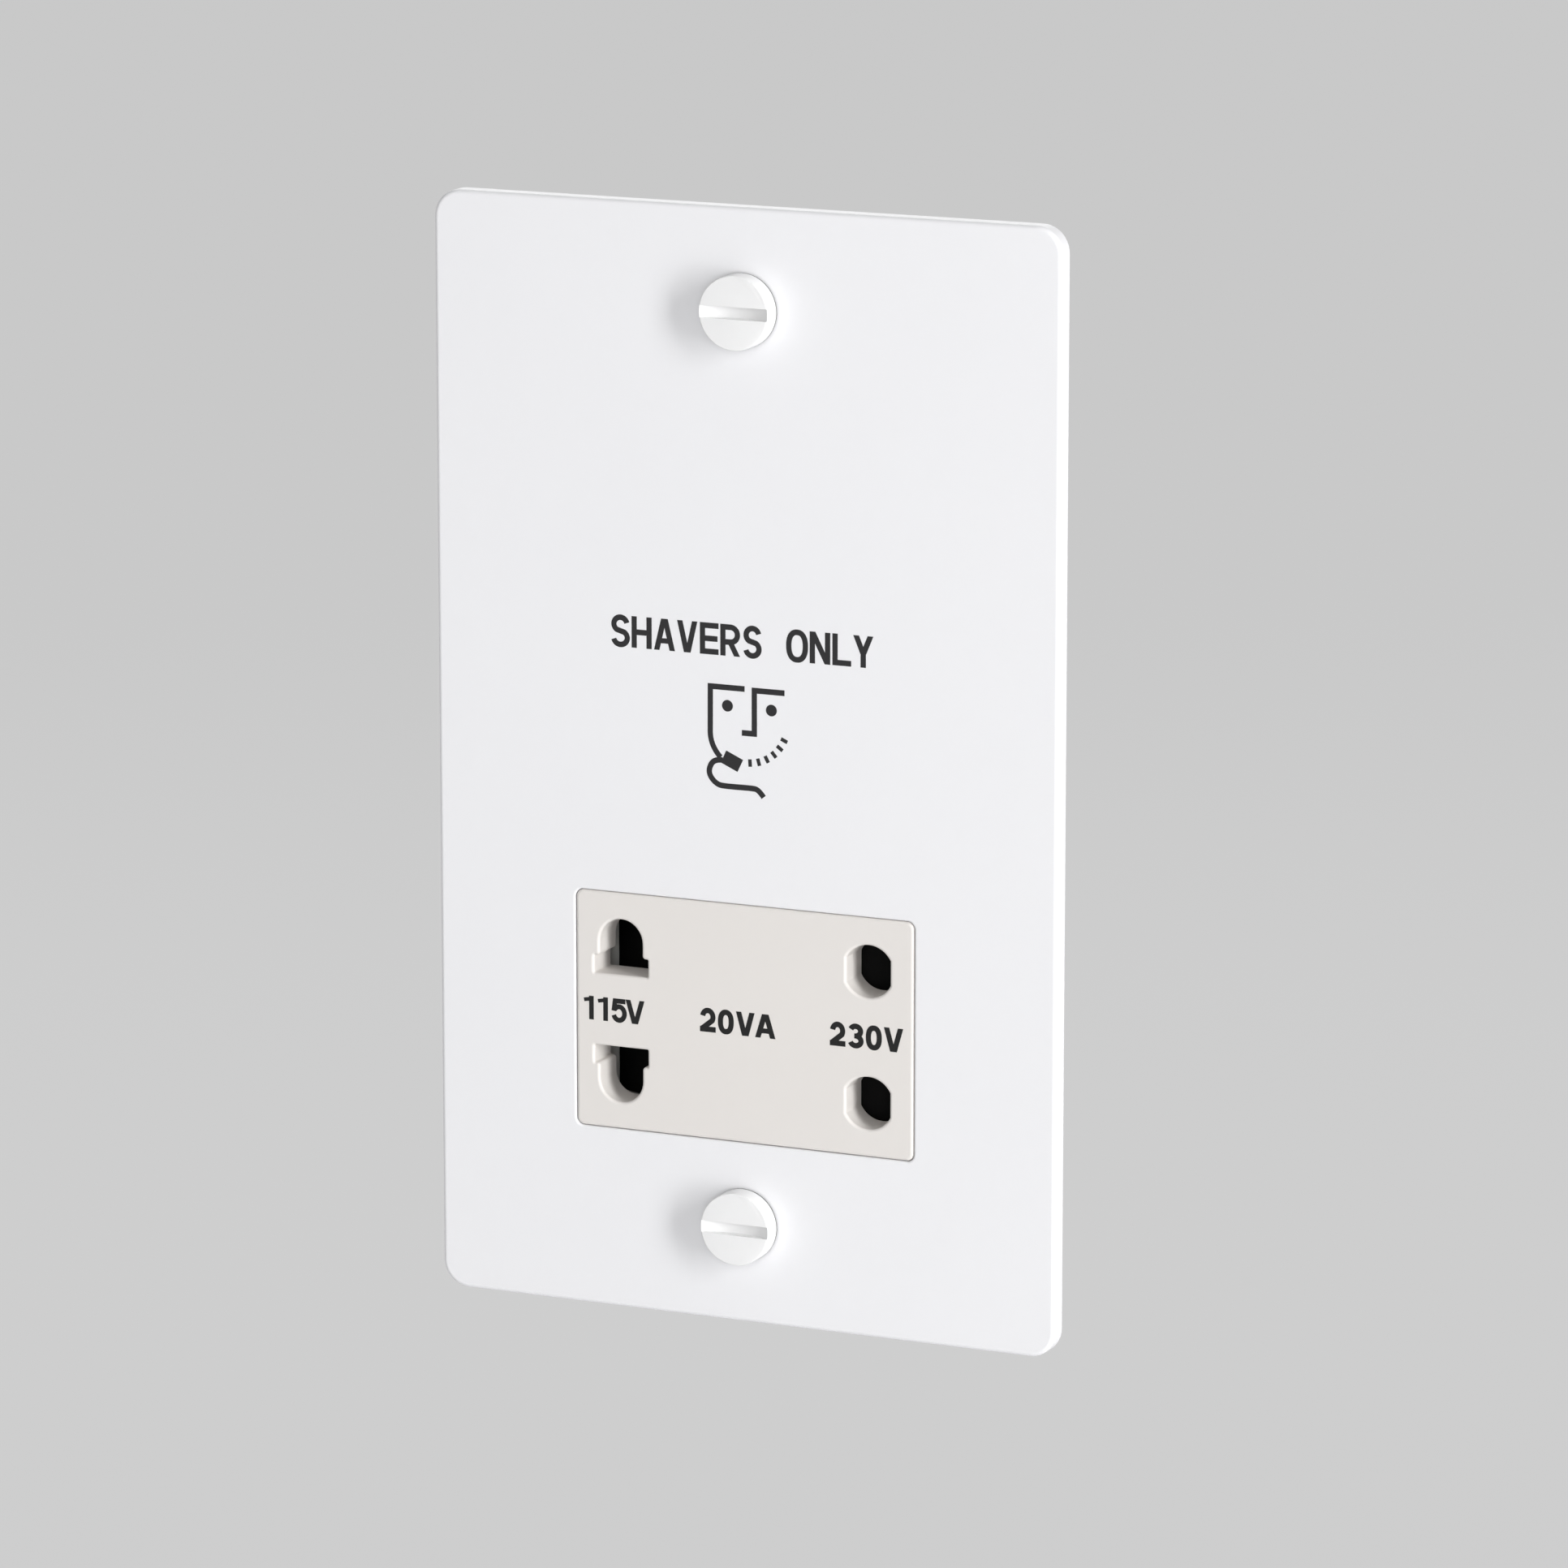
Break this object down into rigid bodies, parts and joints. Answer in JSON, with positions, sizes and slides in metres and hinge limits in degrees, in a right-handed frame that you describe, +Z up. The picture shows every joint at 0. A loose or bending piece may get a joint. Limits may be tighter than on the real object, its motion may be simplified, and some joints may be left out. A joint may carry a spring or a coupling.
{
  "type": "shaver socket",
  "caption": "Dual-voltage shaver supply socket: flat upright plate with a shuttered socket face, slotted fixing screws and an isolating transformer in a stepped rear housing.",
  "frame": {"origin": "midway between the two fixing screws, in the plane of the plate's back where it bears on the wall", "axes": "+X to the right seen from the front, +Y into the wall, +Z up; the front face looks along -Y"},
  "size_m": [0.088, 0.0484, 0.147],
  "materials": {
    "plate_white": "fine satin white powder coat",
    "screw_white": "white enamelled head on a zinc-plated screw",
    "nylon": "natural nylon",
    "zinc_steel": "zinc plate",
    "terminal_brass": "machined brass",
    "socket_cream": "satin warm white moulding",
    "shutter_black": "black moulding",
    "spring_steel": "bright spring wire",
    "carrier_white": "white moulding",
    "contact_brass": "rolled strip",
    "core_steel": "stacked dark laminations",
    "bobbin_nylon": "white glass-filled nylon",
    "tinned_wire": "tinned wire",
    "winding_copper": "enamelled copper wire, taken as one solid",
    "cutout_black": "black capsule",
    "cover_white": "white moulding",
    "block_white": "white moulding",
    "lead_brown": "insulated lead",
    "lead_blue": "insulated lead",
    "lead_yellow": "insulated lead",
    "lead_red": "insulated lead",
    "lead_black": "insulated lead"
  },
  "bodies": {
    "housing": {"front_plate": "plate_white", "fixing_screws": "screw_white", "screw_retainers": "nylon", "plate_studs": "zinc_steel", "stud_nuts": "zinc_steel", "earth_terminal": "terminal_brass", "earth_screw": "zinc_steel", "front_casing": "socket_cream", "shutter_spring": "spring_steel", "contact_carrier": "carrier_white", "carrier_screws": "zinc_steel", "contact_common": "contact_brass", "contact_115v": "contact_brass", "contact_230v": "contact_brass", "transformer_core": "core_steel", "core_screws": "zinc_steel", "bobbin": "bobbin_nylon", "bobbin_pins": "tinned_wire", "primary_winding": "winding_copper", "secondary_winding": "winding_copper", "thermal_cutout": "cutout_black", "rear_cover": "cover_white", "cover_screws": "zinc_steel", "terminal_block": "block_white", "block_screws": "zinc_steel", "terminal_barrels": "terminal_brass", "terminal_screws": "zinc_steel", "lead_live": "lead_brown", "lead_neutral": "lead_blue", "lead_cutout": "lead_brown", "lead_115v": "lead_yellow", "lead_230v": "lead_red", "lead_common": "lead_black"},
    "shutter": {"shutter": "shutter_black"}
  },
  "joints": [
    {"name": "shutter_slide", "type": "slide", "parent": "housing", "child": "shutter", "axis": [1, 0, 0], "range_m": [-0.0084, 0.0084], "stiffness_N_per_m": 100, "deforming": ["shutter_spring"]}
  ]
}
